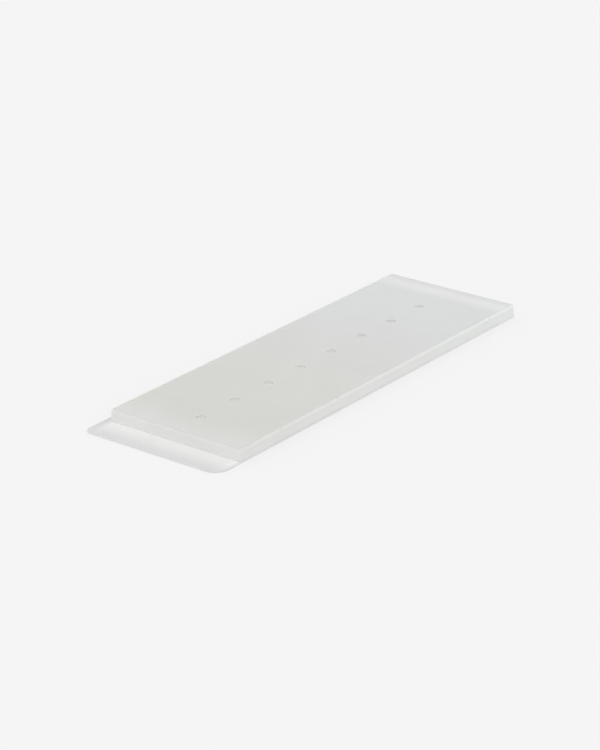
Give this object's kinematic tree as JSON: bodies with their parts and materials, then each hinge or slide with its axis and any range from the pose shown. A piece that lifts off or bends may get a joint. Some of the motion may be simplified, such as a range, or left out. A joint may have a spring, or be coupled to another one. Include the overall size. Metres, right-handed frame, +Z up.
{
  "type": "soap slab mould",
  "caption": "Flat rectangular mould for casting and portioning a soap slab: base sheet, open frame, inset cover and plugged vents.",
  "frame": {"origin": "middle of the underside of the base sheet, where the mould stands on the bench", "axes": "+X along the mould from the end where the base sheet shows to the flush end, +Y across it to the left, +Z up"},
  "size_m": [0.259, 0.087, 0.007],
  "materials": {
    "base_sheet": "thin translucent white polypropylene sheet, satin",
    "mould_frame": "frosted translucent white plastic, sanded satin",
    "cover_plate": "frosted translucent white plastic, fine matt grain",
    "vent_plug": "soft translucent silicone, matt"
  },
  "bodies": {
    "base": {"base_sheet": "base_sheet"},
    "frame": {"mould_frame": "mould_frame"},
    "cover": {"cover_plate": "cover_plate"},
    "plug_1": {"vent_plug_1": "vent_plug"},
    "plug_2": {"vent_plug_2": "vent_plug"},
    "plug_3": {"vent_plug_3": "vent_plug"},
    "plug_4": {"vent_plug_4": "vent_plug"},
    "plug_5": {"vent_plug_5": "vent_plug"},
    "plug_6": {"vent_plug_6": "vent_plug"},
    "plug_7": {"vent_plug_7": "vent_plug"},
    "plug_8": {"vent_plug_8": "vent_plug"}
  },
  "joints": [
    {"name": "frame_slide", "type": "slide", "parent": "base", "child": "frame", "axis": [1, 0, 0], "range_m": [-0.017, 0.06]},
    {"name": "cover_lift", "type": "slide", "parent": "frame", "child": "cover", "axis": [0, 0, 1], "range_m": [0, 0.03]},
    {"name": "plug_1_pull", "type": "slide", "parent": "cover", "child": "plug_1", "axis": [0, 0, 1], "range_m": [0, 0.008]},
    {"name": "plug_2_pull", "type": "slide", "parent": "cover", "child": "plug_2", "axis": [0, 0, 1], "range_m": [0, 0.008]},
    {"name": "plug_3_pull", "type": "slide", "parent": "cover", "child": "plug_3", "axis": [0, 0, 1], "range_m": [0, 0.008]},
    {"name": "plug_4_pull", "type": "slide", "parent": "cover", "child": "plug_4", "axis": [0, 0, 1], "range_m": [0, 0.008]},
    {"name": "plug_5_pull", "type": "slide", "parent": "cover", "child": "plug_5", "axis": [0, 0, 1], "range_m": [0, 0.008]},
    {"name": "plug_6_pull", "type": "slide", "parent": "cover", "child": "plug_6", "axis": [0, 0, 1], "range_m": [0, 0.008]},
    {"name": "plug_7_pull", "type": "slide", "parent": "cover", "child": "plug_7", "axis": [0, 0, 1], "range_m": [0, 0.008]},
    {"name": "plug_8_pull", "type": "slide", "parent": "cover", "child": "plug_8", "axis": [0, 0, 1], "range_m": [0, 0.008]}
  ]
}
